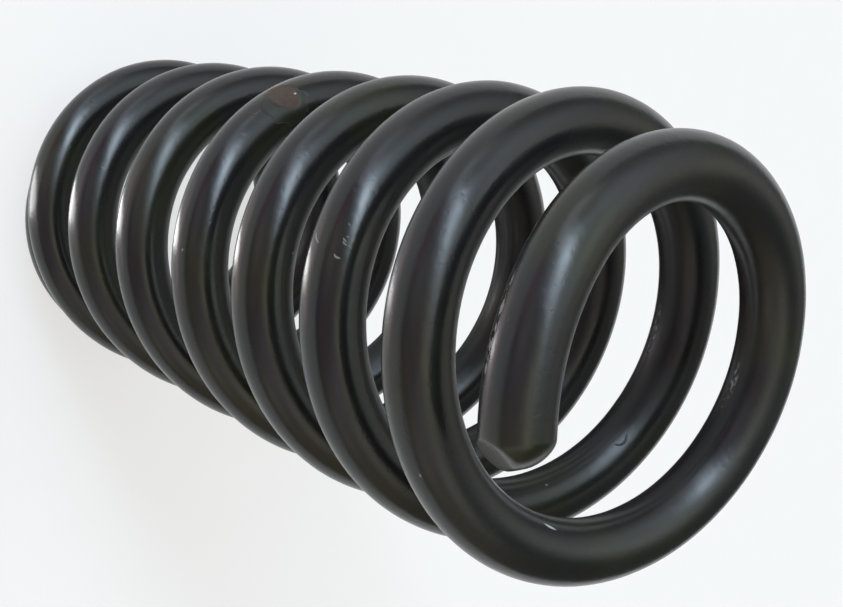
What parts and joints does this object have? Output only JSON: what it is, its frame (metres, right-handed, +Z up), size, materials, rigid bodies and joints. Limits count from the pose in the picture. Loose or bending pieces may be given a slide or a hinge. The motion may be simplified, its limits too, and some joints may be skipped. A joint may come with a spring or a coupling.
{
  "type": "suspension spring",
  "caption": "Helical compression spring of a vehicle's suspension, coiled right-handed from round black enamelled bar, with a closed end, an open end and cropped tips.",
  "frame": {"origin": "on the coil's axis, in the plane that the closed end stands on", "axes": "+Z up the coil's axis from the closed end to the open end; +X through the start of the closed end's cropped tip"},
  "size_m": [0.1314, 0.1314, 0.3356],
  "materials": {
    "black_enamel": "gloss black enamel over hot-rolled steel bar, chipped to bare rusty steel in one small place"
  },
  "bodies": {
    "root": {"coil_spring": "black_enamel"}
  },
  "joints": []
}
